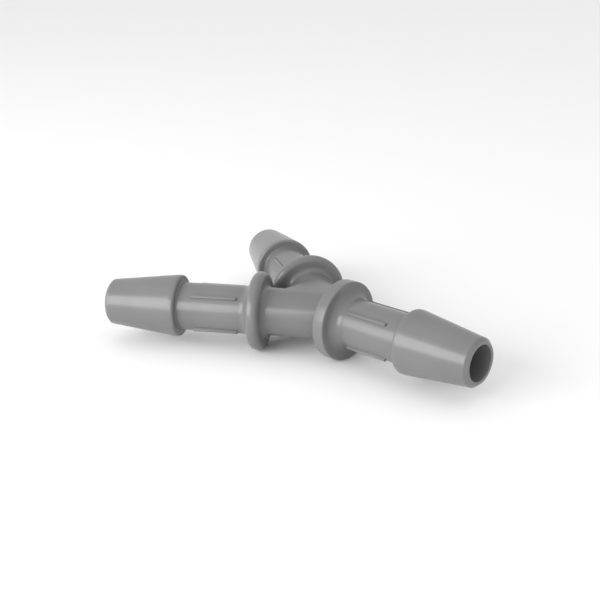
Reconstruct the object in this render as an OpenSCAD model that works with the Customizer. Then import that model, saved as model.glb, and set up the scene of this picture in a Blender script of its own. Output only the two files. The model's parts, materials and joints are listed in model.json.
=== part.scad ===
// Wye connector with three single-barb ends for flexible tubing, injection moulded in one piece.
// The stem runs out along +X from the junction, and two branches fork away behind it in one
// level plane. The origin lies on the surface that the three collars rest on, under the middle
// of the connector's length. Every module is one functional feature of the moulding, and the
// features meet face to face.

/* [Fork] */
// Angle between the two branches
fork_angle = 60; // [56:1:61]
// Outer diameter of the hub's tubes
hub_d = 6.35; // [6.2:0.05:6.4]
// Thickness of the web that fills the fork between the branches
web_t = 5.6; // [2:0.1:6]
// Distance from the junction to the web's end
web_reach = 6.7; // [6.5:0.1:7.2]
// Bore diameter, the same through all three arms
bore_d = 4.5; // [4:0.1:4.7]
// Colour of the plastic
plastic = "#949494"; // [#949494:Grey, #e8e8e4:Natural, #303030:Black]

/* [Collars] */
// Outer diameter of the collar that stops the tube
collar_d = 10.4; // [10.4:0.1:11.5]
// Thickness of a collar
collar_t = 1.7; // [1.55:0.05:2]
// Distance from the junction to the stem collar's hub-side face
stem_collar_at = 1.6; // [1.6:0.05:4]
// Distance from the junction to a branch collar's hub-side face
branch_collar_at = 8.45; // [8:0.05:11]
// Rounding along both edges of the stem collar's rim
stem_rim_r = 0.2; // [0.05:0.05:0.75]
// Rounding along both edges of a branch collar's rim
branch_rim_r = 0.75; // [0.05:0.05:0.75]
// Fillet between the hub and a collar
root_fillet = 0.7; // [0.4:0.05:0.7]
// Fillet between a collar and the neck that the tube slides on
face_fillet = 1.25; // [0.6:0.05:1.25]

/* [Necks and barbs] */
// Neck diameter, equal to the bore of the tube that it carries
neck_d = 6.35; // [6.2:0.05:6.4]
// Length of a neck, from the collar's face to the barb's shoulder
neck_l = 9.9; // [9.6:0.1:14]
// Fillet between the neck and the barb's shoulder
shoulder_fillet = 0.15; // [0.1:0.05:0.4]
// Largest diameter of the barb
barb_d = 8.25; // [8:0.05:8.8]
// Length of the barb, from its shoulder to the tip
barb_l = 10.05; // [8:0.05:14]
// Length of the barb's cylindrical land, its edge rounding included
land_l = 0.75; // [0.4:0.05:1]
// Rounding along the shoulder's outer edge
edge_r = 0.3; // [0.05:0.05:0.35]
// Diameter at the small end of the barb's cone
tip_d = 6.1; // [5.9:0.05:6.3]
// Chamfer round the tip
tip_chamfer = 0.4; // [0.2:0.05:0.5]

/* [Ribs] */
// Length of a rib along the neck
rib_l = 6.1; // [4:0.1:6.2]
// Width of a rib
rib_w = 0.4; // [0.3:0.05:0.8]
// Height of a rib above the neck
rib_h = 0.3; // [0.2:0.05:0.6]
// Distance from the collar's face to the start of a rib
rib_gap = 1.7; // [1.5:0.1:2.2]

/* [Hidden] */
$fn = 96;

// Straight segments in each rounded edge or fillet of a profile
arc_steps = 8;
// Directions of the four ribs round a neck, measured from the upright
rib_angles = [45, 135, 225, 315];
// How much shorter the ball that joins the bores reaches along the arms than the outer one
bore_ball_inset = 0.2;
// How far a cutting tool runs past the solid that it cuts
overcut = 1;

bore_r = bore_d / 2;
hub_r = hub_d / 2;
neck_r = neck_d / 2;
collar_r = collar_d / 2;
barb_r = barb_d / 2;
tip_r = tip_d / 2;

// Arm directions in plan: the stem, and the branches to its left and right seen from the stem
stem_turn = 0;
left_turn = 180 + fork_angle / 2;
right_turn = 180 - fork_angle / 2;

// Distances from the junction along an arm whose collar starts at a given distance
function hub_end(at) = at - root_fillet;
function neck_start(at) = at + collar_t + face_fillet;
function shoulder(at) = at + collar_t + neck_l;
function tip(at) = shoulder(at) + barb_l;

// The junction's place, which puts the middle of the length over the origin
stem_reach = tip(stem_collar_at);
branch_reach = tip(branch_collar_at) * cos(fork_angle / 2)
    + (tip_r - tip_chamfer) * sin(fork_angle / 2);
junction_x = (branch_reach - stem_reach) / 2;
// Size of a block that holds any one arm
block = 2 * branch_reach;

// Points of an arc in a profile, as [radius, distance along the axis]
function arc(centre, r, from, to) = [
    for (i = [0 : arc_steps])
        let (a = from + (to - from) * i / arc_steps)
        centre + r * [cos(a), sin(a)]
];

// Carries a solid drawn along +Z from the junction onto an arm's axis
module on_arm(turn) {
    translate([junction_x, 0, collar_r]) rotate([0, 0, turn]) rotate([0, 90, 0]) children();
}

// Keeps what lies on one side of the fork's plane of symmetry, -1 for the left and 1 for the right
module own_side(side) {
    intersection() {
        children();
        translate([-block, side < 0 ? -block : 0, -block]) cube([2 * block, block, 2 * block]);
    }
}

// Straight neck between the collar's fillet and the shoulder's
module neck_tube(at) {
    length = shoulder(at) - shoulder_fillet - neck_start(at);
    translate([0, 0, neck_start(at)]) difference() {
        cylinder(r = neck_r, h = length);
        translate([0, 0, -overcut]) cylinder(r = bore_r, h = length + 2 * overcut);
    }
}

// Collar with its fillets down to the hub on one side and to the neck on the other
module collar_ring(at, rim_r) {
    face = at + collar_t;
    rotate_extrude() polygon(concat(
        [[bore_r, hub_end(at)]],
        arc([hub_r + root_fillet, hub_end(at)], root_fillet, 180, 90),
        arc([collar_r - rim_r, at + rim_r], rim_r, -90, 0),
        arc([collar_r - rim_r, face - rim_r], rim_r, 0, 90),
        arc([neck_r + face_fillet, neck_start(at)], face_fillet, 270, 180),
        [[bore_r, neck_start(at)]]
    ));
}

// Barb with its shoulder, cylindrical land, cone and chamfered tip
module barb_ring(at) {
    start = shoulder(at) - shoulder_fillet;
    rotate_extrude() polygon(concat(
        [[bore_r, start]],
        arc([neck_r + shoulder_fillet, start], shoulder_fillet, 180, 90),
        arc([barb_r - edge_r, shoulder(at) + edge_r], edge_r, -90, 0),
        [
            [barb_r, shoulder(at) + land_l],
            [tip_r, tip(at) - tip_chamfer],
            [tip_r - tip_chamfer, tip(at)],
            [bore_r, tip(at)]
        ]
    ));
}

// Four fine ribs that stand on the neck and keep the tube from turning
module rib_set(at) {
    start = at + collar_t + rib_gap;
    difference() {
        for (a = rib_angles)
            rotate([0, 0, a]) translate([bore_r, -rib_w / 2, start])
                cube([neck_r + rib_h - bore_r, rib_w, rib_l]);
        translate([0, 0, start - overcut]) cylinder(r = neck_r, h = rib_l + 2 * overcut);
    }
}

// Ball at the junction whose surface crosses every arm's tube at the given distance
module junction_ball(tube_r, reach) {
    on_arm(stem_turn) sphere(r = norm([tube_r, reach]));
}

// Flat web between the branches, level with their axes, which stops short of their collars
module fork_web() {
    reach = min(web_reach, hub_end(branch_collar_at) * cos(fork_angle / 2));
    half = reach * tan(fork_angle / 2);
    translate([junction_x, 0, collar_r - web_t / 2]) linear_extrude(height = web_t)
        polygon([[0, 0], [-reach, -half], [-reach, half]]);
}

// Two branch tubes that run out of a ball at the junction, with a web in their fork
module hub() {
    end = hub_end(stem_collar_at);
    color(plastic) difference() {
        union() {
            junction_ball(hub_r, end);
            on_arm(left_turn) cylinder(r = hub_r, h = hub_end(branch_collar_at));
            on_arm(right_turn) cylinder(r = hub_r, h = hub_end(branch_collar_at));
            fork_web();
        }
        // Flat end that the stem's collar meets
        on_arm(stem_turn) translate([0, 0, end]) cylinder(r = collar_r, h = collar_r);
        junction_ball(bore_r, end - bore_ball_inset);
        on_arm(stem_turn) cylinder(r = bore_r, h = stem_reach);
        on_arm(left_turn) cylinder(r = bore_r, h = branch_reach);
        on_arm(right_turn) cylinder(r = bore_r, h = branch_reach);
    }
}

module stem_collar() {
    color(plastic) on_arm(stem_turn) collar_ring(stem_collar_at, stem_rim_r);
}

module stem_neck() {
    color(plastic) on_arm(stem_turn) neck_tube(stem_collar_at);
}

module stem_ribs() {
    color(plastic) on_arm(stem_turn) rib_set(stem_collar_at);
}

module stem_barb() {
    color(plastic) on_arm(stem_turn) barb_ring(stem_collar_at);
}

module left_collar() {
    color(plastic) own_side(-1) on_arm(left_turn) collar_ring(branch_collar_at, branch_rim_r);
}

module left_neck() {
    color(plastic) on_arm(left_turn) neck_tube(branch_collar_at);
}

module left_ribs() {
    color(plastic) on_arm(left_turn) rib_set(branch_collar_at);
}

module left_barb() {
    color(plastic) on_arm(left_turn) barb_ring(branch_collar_at);
}

module right_collar() {
    color(plastic) own_side(1) on_arm(right_turn) collar_ring(branch_collar_at, branch_rim_r);
}

module right_neck() {
    color(plastic) on_arm(right_turn) neck_tube(branch_collar_at);
}

module right_ribs() {
    color(plastic) on_arm(right_turn) rib_set(branch_collar_at);
}

module right_barb() {
    color(plastic) on_arm(right_turn) barb_ring(branch_collar_at);
}

hub();
stem_collar();
stem_neck();
stem_ribs();
stem_barb();
left_collar();
left_neck();
left_ribs();
left_barb();
right_collar();
right_neck();
right_ribs();
right_barb();
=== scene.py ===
import json
import math

import bmesh
import bpy
import numpy as np
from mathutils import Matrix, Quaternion, Vector


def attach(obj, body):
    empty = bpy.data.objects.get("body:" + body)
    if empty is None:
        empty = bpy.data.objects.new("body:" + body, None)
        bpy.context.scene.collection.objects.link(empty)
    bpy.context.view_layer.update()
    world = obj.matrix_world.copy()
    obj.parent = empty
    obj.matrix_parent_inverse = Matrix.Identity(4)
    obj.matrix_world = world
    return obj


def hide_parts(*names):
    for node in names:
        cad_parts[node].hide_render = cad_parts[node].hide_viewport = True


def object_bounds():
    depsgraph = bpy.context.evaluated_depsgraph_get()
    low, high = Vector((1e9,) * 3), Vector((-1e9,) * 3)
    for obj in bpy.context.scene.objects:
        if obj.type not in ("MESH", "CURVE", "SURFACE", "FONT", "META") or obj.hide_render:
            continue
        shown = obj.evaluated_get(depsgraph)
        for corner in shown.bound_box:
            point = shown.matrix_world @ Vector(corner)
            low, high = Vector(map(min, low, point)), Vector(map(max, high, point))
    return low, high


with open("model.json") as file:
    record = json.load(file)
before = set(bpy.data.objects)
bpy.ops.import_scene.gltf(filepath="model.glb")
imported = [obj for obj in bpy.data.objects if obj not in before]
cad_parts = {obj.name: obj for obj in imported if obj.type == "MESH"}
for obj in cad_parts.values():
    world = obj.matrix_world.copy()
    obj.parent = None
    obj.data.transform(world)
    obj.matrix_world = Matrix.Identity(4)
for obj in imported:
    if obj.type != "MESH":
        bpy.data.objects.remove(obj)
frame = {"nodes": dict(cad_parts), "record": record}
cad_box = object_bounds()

MM = 0.001

# Fillets and roundings of the collars
ROOT_FILLET = 0.7 * MM
FACE_FILLET = 1.25 * MM
STEM_RIM = 0.2 * MM
BRANCH_RIM = 0.75 * MM

# Fillets and roundings of the barbs, and the chamfer round their tips
SHOULDER_FILLET = 0.15 * MM
EDGE_ROUND = 0.3 * MM
LAND_BLEND = 1.2 * MM
TIP_CHAMFER = 0.4 * MM
TIP_EDGE = 0.08 * MM
MOUTH_EDGE = 0.1 * MM

# Fillet between the hub's tubes, and the stretch before a tube's end over which it fades out
CROTCH_FILLET = 2.9 * MM
CROTCH_FADE = 1.3 * MM

# Distances behind the junction at which the web starts to round off, and at which it ends
WEB_FLAT = 5.0 * MM
WEB_END = 7.3 * MM

# Ribs: their width, the rounding of their edges, how deep their feet sink into the neck, and
# their directions round it in degrees from the upright
RIB_WIDTH = 0.4 * MM
RIB_EDGE = 0.07 * MM
RIB_SINK = 0.1 * MM
RIB_ANGLES = (45, 135, 225, 315)

# Mesh fineness: steps round an arm, steps in an arc, lengths of straight runs, rows of faces along
# a hub tube, the power that crowds those rows towards the junction, and steps round a rib's edge
ROUND_STEPS = 144
ARC_STEPS = 14
NECK_STEP = 0.6 * MM
BARB_STEP = 0.8 * MM
HUB_ROWS = 28
ROW_CROWDING = 1.3
EDGE_STEPS = 3

# Smallest angle in degrees between faces that shades as a sharp edge
SHARP_ANGLE = 40

# Distances within which a vertex lies at a place along an axis, two vertices are merged, and a
# vertex lies on a cutting plane
NEARBY = 0.01 * MM
MERGE = 1e-7
ON_PLANE = 1e-8

# Steps in which the hub's points settle on its surface, and the share of the way in each
SETTLE_STEPS = 30
SETTLE_SHARE = 0.8

# One minus the cosine of the angle between two tubes' normals at which their fillet is full, 120
# degrees, and the reach that is left where the fillet has faded out
FULL_SPREAD = 1.5
TINY_REACH = 1e-9

UP = Vector((0, 0, 1))


# ---------------------------------------------------------------- frame

class Arm:
    """One arm of the connector: its axis from the junction, and the places of its nodes along it."""

    def __init__(self, name, junction, axis):
        self.name = name
        self.junction = junction
        self.axis = axis
        self.side = UP.cross(axis)
        self.turn = math.atan2(axis.y, axis.x) % (2 * math.pi)

    def split(self, node):
        """Distances along the axis and from the axis of a CAD node's vertices."""
        mesh = frame["nodes"][f"{self.name}_{node}"].data
        offsets = np.array([v.co - self.junction for v in mesh.vertices])
        along = offsets @ np.array(self.axis)
        away = np.linalg.norm(offsets - np.outer(along, self.axis), axis=1)
        return along, away

    def span(self, node):
        """Where a node starts and ends along the axis."""
        along, _ = self.split(node)
        return float(along.min()), float(along.max())

    def radius(self, node):
        """A node's largest radius."""
        _, away = self.split(node)
        return float(away.max())

    def radius_at(self, node, distance):
        """A node's largest radius at a distance along the axis."""
        along, away = self.split(node)
        return float(away[np.abs(along - distance) < NEARBY].max())

    def point(self, along, away, angle):
        """Point at a distance along the axis and away from it, at an angle from the upright."""
        across = math.cos(angle) * UP + math.sin(angle) * self.side
        return self.junction + along * self.axis + away * across


MOUNTS = {m["name"]: m for m in frame["record"]["mounts"]}


def find_junction():
    """Where the branches' axes cross the stem's."""
    place = Vector(MOUNTS["left_bore"]["pos_m"])
    axis = Vector(MOUNTS["left_bore"]["axis"])
    return place - axis * (place.y / axis.y)


def make_arm(name):
    return Arm(name, find_junction(), Vector(MOUNTS[f"{name}_bore"]["axis"]).normalized())


# ---------------------------------------------------------------- outlines

def rounded(corners):
    """Outline through (along, away, radius) corners, each rounded by an arc of that radius."""
    points = []
    count = len(corners)
    for i, (s, r, radius) in enumerate(corners):
        here = Vector((s, r))
        if radius == 0:
            points.append(here)
            continue
        before = Vector(corners[i - 1][:2]) - here
        after = Vector(corners[(i + 1) % count][:2]) - here
        before.normalize()
        after.normalize()
        half = before.angle(after) / 2
        centre = here + (before + after).normalized() * (radius / math.sin(half))
        start = here + before * (radius / math.tan(half)) - centre
        end = here + after * (radius / math.tan(half)) - centre
        sweep = math.atan2(start.x * end.y - start.y * end.x, start.dot(end))
        for k in range(ARC_STEPS + 1):
            a = sweep * k / ARC_STEPS
            points.append(centre + Vector((
                start.x * math.cos(a) - start.y * math.sin(a),
                start.x * math.sin(a) + start.y * math.cos(a),
            )))
    return points


def stretch(points, step):
    """The same closed outline with long straight runs cut into lengths of about a step."""
    result = []
    for i, p in enumerate(points):
        q = points[(i + 1) % len(points)]
        pieces = max(1, round((q - p).length / step))
        result += [p.lerp(q, k / pieces) for k in range(pieces)]
    return result


# ---------------------------------------------------------------- meshes

def new_piece(name, mesh_builder, replaced):
    """Makes an object from a bmesh, smooth except at sharp edges, and gives it its place in the model."""
    bmesh.ops.recalc_face_normals(mesh_builder, faces=mesh_builder.faces)
    mesh = bpy.data.meshes.new(name)
    mesh_builder.to_mesh(mesh)
    mesh_builder.free()
    mesh.shade_smooth()
    mesh.set_sharp_from_angle(angle=math.radians(SHARP_ANGLE))
    piece = bpy.data.objects.new(name, mesh)
    bpy.context.scene.collection.objects.link(piece)
    piece.data.materials.append(PLASTIC)
    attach(piece, "root")
    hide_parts(replaced)
    return piece


def turned(arm, outline):
    """Closed ring turned from an outline about an arm's axis."""
    builder = bmesh.new()
    rings = []
    for p in outline:
        ring = []
        for k in range(ROUND_STEPS):
            angle = 2 * math.pi * k / ROUND_STEPS
            ring.append(builder.verts.new(arm.point(p.x, p.y, angle)))
        rings.append(ring)
    for i, ring in enumerate(rings):
        following = rings[(i + 1) % len(rings)]
        for k in range(ROUND_STEPS):
            j = (k + 1) % ROUND_STEPS
            builder.faces.new((ring[k], ring[j], following[j], following[k]))
    return builder


def cut_at_middle(builder, arm):
    """Cuts a branch's ring at the plane midway between the branches, and closes the cut."""
    outward = Vector((0, math.copysign(1, arm.axis.y), 0))
    cut = bmesh.ops.bisect_plane(
        builder, geom=builder.verts[:] + builder.edges[:] + builder.faces[:],
        plane_co=arm.junction, plane_no=outward, clear_inner=True, dist=ON_PLANE,
    )
    edges = [e for e in cut["geom_cut"] if isinstance(e, bmesh.types.BMEdge)]
    bmesh.ops.contextual_create(builder, geom=edges)


def make_collar(arm, bore_r, hub_r, neck_r, rim):
    start, end = arm.span("collar")
    top = arm.radius("collar")
    builder = turned(arm, rounded([
        (start, bore_r, 0),
        (start, hub_r, 0),
        (start + ROOT_FILLET, hub_r, ROOT_FILLET),
        (start + ROOT_FILLET, top, rim),
        (end - FACE_FILLET, top, rim),
        (end - FACE_FILLET, neck_r, FACE_FILLET),
        (end, neck_r, 0),
        (end, bore_r, 0),
    ]))
    if arm.name != "stem":
        cut_at_middle(builder, arm)
    return new_piece(f"{arm.name}_collar_moulding", builder, f"{arm.name}_collar")


def make_neck(arm, bore_r, neck_r):
    start, end = arm.span("neck")
    outline = [Vector(p) for p in ((start, bore_r), (start, neck_r), (end, neck_r), (end, bore_r))]
    builder = turned(arm, stretch(outline, NECK_STEP))
    return new_piece(f"{arm.name}_neck_moulding", builder, f"{arm.name}_neck")


def make_barb(arm, bore_r, neck_r):
    start, end = arm.span("barb")
    pin = MOUNTS[f"{arm.name}_barb"]
    barb_r = pin["dims"]["r_mm"] * MM
    land_end = (Vector(pin["pos_m"]) - arm.junction).dot(arm.axis) + pin["dims"]["length_mm"] * MM / 2
    tip_r = arm.radius_at("barb", end) + TIP_CHAMFER
    outline = rounded([
        (start, bore_r, 0),
        (start, neck_r, 0),
        (start + SHOULDER_FILLET, neck_r, SHOULDER_FILLET),
        (start + SHOULDER_FILLET, barb_r, EDGE_ROUND),
        (land_end, barb_r, LAND_BLEND),
        (end - TIP_CHAMFER, tip_r, TIP_EDGE),
        (end, tip_r - TIP_CHAMFER, TIP_EDGE),
        (end, bore_r, MOUTH_EDGE),
    ])
    builder = turned(arm, stretch(outline, BARB_STEP))
    return new_piece(f"{arm.name}_barb_moulding", builder, f"{arm.name}_barb")


def make_ribs(arm, neck_r):
    """Four fine ribs, each with rounded edges and its foot sunk into the neck."""
    start, end = arm.span("ribs")
    height = math.sqrt(arm.radius("ribs") ** 2 - (RIB_WIDTH / 2) ** 2) - neck_r
    builder = bmesh.new()
    for degrees in RIB_ANGLES:
        angle = math.radians(degrees)
        out = math.cos(angle) * UP + math.sin(angle) * arm.side
        across = arm.axis.cross(out)
        corners = []
        for s in (start, end):
            for away, half in ((neck_r - RIB_SINK, RIB_WIDTH / 2), (neck_r + height, RIB_WIDTH / 2)):
                for side in (-1, 1):
                    corners.append(builder.verts.new(
                        arm.junction + s * arm.axis + away * out + side * half * across))
        a, b, c, d, e, f, g, h = corners
        faces = [
            builder.faces.new(loop) for loop in (
                (a, b, d, c), (e, g, h, f), (a, e, f, b), (c, d, h, g), (a, c, g, e), (b, f, h, d))
        ]
        top_edges = list(faces[3].edges)
        upright_edges = [builder.edges.get(pair) for pair in ((a, c), (b, d), (e, g), (f, h))]
        bmesh.ops.bevel(builder, geom=top_edges + upright_edges, offset=RIB_EDGE, segments=EDGE_STEPS,
                        profile=0.5, affect="EDGES")
    return new_piece(f"{arm.name}_rib_mouldings", builder, f"{arm.name}_ribs")


# ---------------------------------------------------------------- hub

def tube_grid(builder, arm, arms, r, end, rows):
    """Grid over one arm's tube, from the planes midway to its neighbours out to its end."""
    turns = sorted(other.turn for other in arms if other is not arm)
    ahead = min((t - arm.turn) % (2 * math.pi) for t in turns)
    behind = min((arm.turn - t) % (2 * math.pi) for t in turns)
    columns = []
    for k in range(ROUND_STEPS):
        angle = 2 * math.pi * k / ROUND_STEPS
        lateral = r * math.sin(angle)
        gap = ahead if lateral > 0 else behind
        first = abs(lateral) / math.tan(gap / 2)
        columns.append([
            builder.verts.new(arm.point(first + (end - first) * (row / rows) ** ROW_CROWDING, r, angle))
            for row in range(rows + 1)
        ])
    for k in range(ROUND_STEPS):
        here = columns[k]
        there = columns[(k + 1) % ROUND_STEPS]
        for row in range(rows):
            builder.faces.new((here[row], there[row], there[row + 1], here[row + 1]))
    return [column[-1] for column in columns]


def settle_on_blend(points, arms, ends, r, fillet):
    """Moves points onto the tubes' joined surface, with a fillet that grows with the angle between
    two tubes and fades out towards their ends."""
    origin = np.array(arms[0].junction)
    axes = np.array([arm.axis for arm in arms])
    stops = np.array(ends)
    places = points.copy()
    for _ in range(SETTLE_STEPS):
        offsets = places - origin
        along = np.maximum(offsets @ axes.T, 0.0)
        away = offsets[:, None, :] - along[:, :, None] * axes[None, :, :]
        lengths = np.linalg.norm(away, axis=2)
        normals = away / lengths[:, :, None]
        order = np.argsort(lengths, axis=1)
        index = np.arange(len(places))
        near = order[:, 0]
        second = order[:, 1]
        near_gap = lengths[index, near] - r
        second_gap = lengths[index, second] - r
        near_normal = normals[index, near]
        second_normal = normals[index, second]
        spread = 1 - (near_normal * second_normal).sum(1)
        reach = fillet * np.clip(spread, 0, FULL_SPREAD) / FULL_SPREAD
        reach *= np.clip((stops[near] - along[index, near]) / CROTCH_FADE, 0, 1)
        reach += TINY_REACH
        near_depth = np.maximum(reach - near_gap, 0)
        second_depth = np.maximum(reach - second_gap, 0)
        depth = np.sqrt(near_depth ** 2 + second_depth ** 2)
        blended = (near_depth > 0) & (second_depth > 0)
        off_surface = np.where(blended, reach - depth, near_gap)
        both = near_depth[:, None] * near_normal + second_depth[:, None] * second_normal
        pull = np.where(blended[:, None], both, near_normal)
        pull /= np.linalg.norm(pull, axis=1)[:, None]
        places -= SETTLE_SHARE * off_surface[:, None] * pull
    return places


def fill_fork(places, arms, hub_r):
    """Raises what lies between the branches to a flat web, rounded off towards its end."""
    branch = arms[-1]
    offsets = places - np.array(branch.junction)
    back = -offsets[:, 0]
    slope = abs(branch.axis.y / branch.axis.x)
    between = (back > 0) & (np.abs(offsets[:, 1]) < back * slope)
    over = np.clip((back - WEB_FLAT) / (WEB_END - WEB_FLAT), 0, 1)
    level = hub_r * np.sqrt(1 - over ** 2)
    height = np.abs(offsets[:, 2])
    raised = np.where(between, np.maximum(height, level), height)
    places[:, 2] = branch.junction.z + np.sign(offsets[:, 2]) * raised
    return places


def make_hub(arms, bore_r, hub_r):
    """Three tubes that run into each other, with fillets, a web in the fork, and the bores inside."""
    ends = [arm.span("collar")[0] for arm in arms]
    skins = []
    for r, fillet in ((hub_r, CROTCH_FILLET), (bore_r, 0.0)):
        builder = bmesh.new()
        rims = [tube_grid(builder, arm, arms, r, end, HUB_ROWS) for arm, end in zip(arms, ends)]
        rim_points = [[v.co.copy() for v in rim] for rim in rims]
        bmesh.ops.remove_doubles(builder, verts=builder.verts, dist=MERGE)
        if fillet:
            points = np.array([v.co for v in builder.verts])
            places = settle_on_blend(points, arms, ends, r, fillet)
            for v, place in zip(builder.verts, fill_fork(places, arms, r)):
                v.co = place
        bmesh.ops.recalc_face_normals(builder, faces=builder.faces)
        skins.append((builder, rim_points))
    outer, outer_rims = skins[0]
    inner, inner_rims = skins[1]
    scratch = bpy.data.meshes.new("bore_skin")
    inner.to_mesh(scratch)
    inner.free()
    outer.from_mesh(scratch)
    bpy.data.meshes.remove(scratch)
    for outside, inside in zip(outer_rims, inner_rims):
        add_end_face(outer, outside, inside)
    bmesh.ops.remove_doubles(outer, verts=outer.verts, dist=MERGE)
    return new_piece("hub_moulding", outer, "hub")


def add_end_face(builder, outside, inside):
    """Flat ring between an outer and an inner circle of points."""
    outer_ring = [builder.verts.new(p) for p in outside]
    inner_ring = [builder.verts.new(p) for p in inside]
    count = len(outer_ring)
    for k in range(count):
        j = (k + 1) % count
        builder.faces.new((outer_ring[k], outer_ring[j], inner_ring[j], inner_ring[k]))


# ---------------------------------------------------------------- material

def moulded_plastic():
    """Neutral grey thermoplastic with a satin moulded skin."""
    material = bpy.data.materials.new("grey_plastic")
    material.use_nodes = True
    nodes = material.node_tree.nodes
    links = material.node_tree.links
    shader = nodes["Principled BSDF"]
    shader.inputs["IOR"].default_value = 1.5
    place = nodes.new("ShaderNodeTexCoord")

    clouds = nodes.new("ShaderNodeTexNoise")
    clouds.inputs["Scale"].default_value = 160
    clouds.inputs["Detail"].default_value = 4
    links.new(place.outputs["Object"], clouds.inputs["Vector"])
    tone = nodes.new("ShaderNodeValToRGB")
    tone.color_ramp.elements[0].position = 0.3
    tone.color_ramp.elements[0].color = (0.155, 0.155, 0.155, 1)
    tone.color_ramp.elements[1].position = 0.7
    tone.color_ramp.elements[1].color = (0.175, 0.175, 0.175, 1)
    links.new(clouds.outputs["Fac"], tone.inputs["Fac"])
    links.new(tone.outputs["Color"], shader.inputs["Base Color"])

    grain = nodes.new("ShaderNodeTexNoise")
    grain.inputs["Scale"].default_value = 5200
    grain.inputs["Detail"].default_value = 3
    links.new(place.outputs["Object"], grain.inputs["Vector"])
    gloss = nodes.new("ShaderNodeMapRange")
    gloss.inputs["To Min"].default_value = 0.2
    gloss.inputs["To Max"].default_value = 0.28
    links.new(grain.outputs["Fac"], gloss.inputs["Value"])
    links.new(gloss.outputs["Result"], shader.inputs["Roughness"])
    bump = nodes.new("ShaderNodeBump")
    bump.inputs["Strength"].default_value = 0.12
    bump.inputs["Distance"].default_value = 0.01 * MM
    links.new(grain.outputs["Fac"], bump.inputs["Height"])
    links.new(bump.outputs["Normal"], shader.inputs["Normal"])
    return material


def floor_material():
    """Matt, nearly white studio floor."""
    material = bpy.data.materials.new("pale_floor")
    material.use_nodes = True
    nodes = material.node_tree.nodes
    links = material.node_tree.links
    shader = nodes["Principled BSDF"]
    shader.inputs["Roughness"].default_value = 0.8
    shader.inputs["Specular IOR Level"].default_value = 0.1
    mottle = nodes.new("ShaderNodeTexNoise")
    mottle.inputs["Scale"].default_value = 3
    tone = nodes.new("ShaderNodeValToRGB")
    tone.color_ramp.elements[0].color = (0.92, 0.92, 0.92, 1)
    tone.color_ramp.elements[1].color = (0.94, 0.94, 0.94, 1)
    links.new(mottle.outputs["Fac"], tone.inputs["Fac"])
    links.new(tone.outputs["Color"], shader.inputs["Base Color"])
    return material


# ---------------------------------------------------------------- studio

def make_floor():
    """Wide pale floor at the level that the object rests on."""
    half = 3.0
    mesh = bpy.data.meshes.new("floor")
    corners = [(-half, -half, 0), (half, -half, 0), (half, half, 0), (-half, half, 0)]
    mesh.from_pydata(corners, [], [(0, 1, 2, 3)])
    floor = bpy.data.objects.new("floor", mesh)
    bpy.context.scene.collection.objects.link(floor)
    floor.location.z = cad_box[0].z
    floor.data.materials.append(floor_material())


def direction(azimuth, elevation):
    """Unit vector towards a viewer at that azimuth and elevation, in degrees."""
    a = math.radians(azimuth)
    e = math.radians(elevation)
    return Vector((math.sin(a) * math.cos(e), -math.cos(a) * math.cos(e), math.sin(e)))


def make_softbox(name, azimuth, elevation, distance, width, height, power):
    """Rectangular lamp that faces the object's middle from a distance."""
    light = bpy.data.lights.new(name, "AREA")
    light.shape = "RECTANGLE"
    light.size = width
    light.size_y = height
    light.energy = power
    lamp = bpy.data.objects.new(name, light)
    bpy.context.scene.collection.objects.link(lamp)
    toward = direction(azimuth, elevation)
    lamp.location = CENTRE + toward * distance
    lamp.rotation_euler = toward.to_track_quat("Z", "Y").to_euler()


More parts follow.
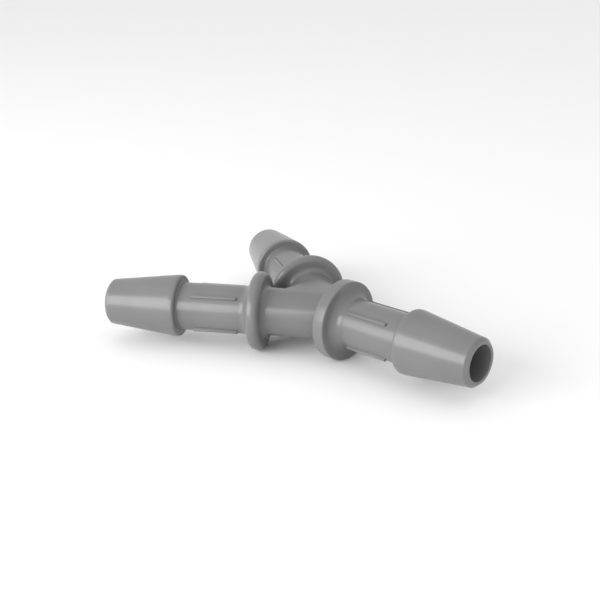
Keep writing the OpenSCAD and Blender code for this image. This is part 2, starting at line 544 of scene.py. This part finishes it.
def make_world(low, high):
    """Soft light from all round, from a level at the horizon to another straight above."""
    world = bpy.data.worlds.new("studio")
    world.use_nodes = True
    nodes = world.node_tree.nodes
    links = world.node_tree.links
    place = nodes.new("ShaderNodeTexCoord")
    parts = nodes.new("ShaderNodeSeparateXYZ")
    level = nodes.new("ShaderNodeMapRange")
    level.interpolation_type = "SMOOTHSTEP"
    level.inputs["From Min"].default_value = 0.0
    level.inputs["From Max"].default_value = 0.8
    level.inputs["To Min"].default_value = low
    level.inputs["To Max"].default_value = high
    links.new(place.outputs["Generated"], parts.inputs["Vector"])
    links.new(parts.outputs["Z"], level.inputs["Value"])
    nodes["Background"].inputs["Color"].default_value = (1, 1, 1, 1)
    links.new(level.outputs["Result"], nodes["Background"].inputs["Strength"])
    bpy.context.scene.world = world


def make_camera(azimuth, elevation, roll, distance, lens, aim_right, aim_up):
    """Camera that looks at the junction, rolled, and slid to put it off the picture's middle."""
    camera = bpy.data.objects.new("camera", bpy.data.cameras.new("camera"))
    bpy.context.scene.collection.objects.link(camera)
    camera.data.sensor_width = 36
    camera.data.lens = lens
    back = direction(azimuth, elevation)
    camera.rotation_mode = "QUATERNION"
    level = back.to_track_quat("Z", "Y")
    camera.rotation_quaternion = level @ Quaternion((0, 0, 1), math.radians(roll))
    right = camera.rotation_quaternion @ Vector((1, 0, 0))
    up = camera.rotation_quaternion @ Vector((0, 1, 0))
    camera.location = find_junction() + back * distance - right * aim_right - up * aim_up
    camera.data.clip_start = 0.001
    camera.data.clip_end = 20
    bpy.context.scene.camera = camera


# ---------------------------------------------------------------- build

CENTRE = (cad_box[0] + cad_box[1]) / 2
PLASTIC = moulded_plastic()
ARMS = [make_arm(name) for name in ("stem", "right", "left")]
BORE_R = MOUNTS["stem_bore"]["dims"]["r_mm"] * MM
HUB_R = ARMS[0].radius_at("collar", ARMS[0].span("collar")[0])
NECK_R = ARMS[0].radius("neck")

make_hub(ARMS, BORE_R, HUB_R)
for arm in ARMS:
    make_collar(arm, BORE_R, HUB_R, NECK_R, STEM_RIM if arm.name == "stem" else BRANCH_RIM)
    make_neck(arm, BORE_R, NECK_R)
    make_ribs(arm, NECK_R)
    make_barb(arm, BORE_R, NECK_R)

make_floor()
make_world(low=0.85, high=0.9)
make_softbox("key", azimuth=-12, elevation=20, distance=0.35, width=0.34, height=0.22, power=1.15)
make_camera(azimuth=43.22, elevation=21.1, roll=-1.22, distance=133.5 * MM, lens=61.66,
            aim_right=3.82 * MM, aim_up=-1.98 * MM)
bpy.context.scene.view_settings.view_transform = "Standard"
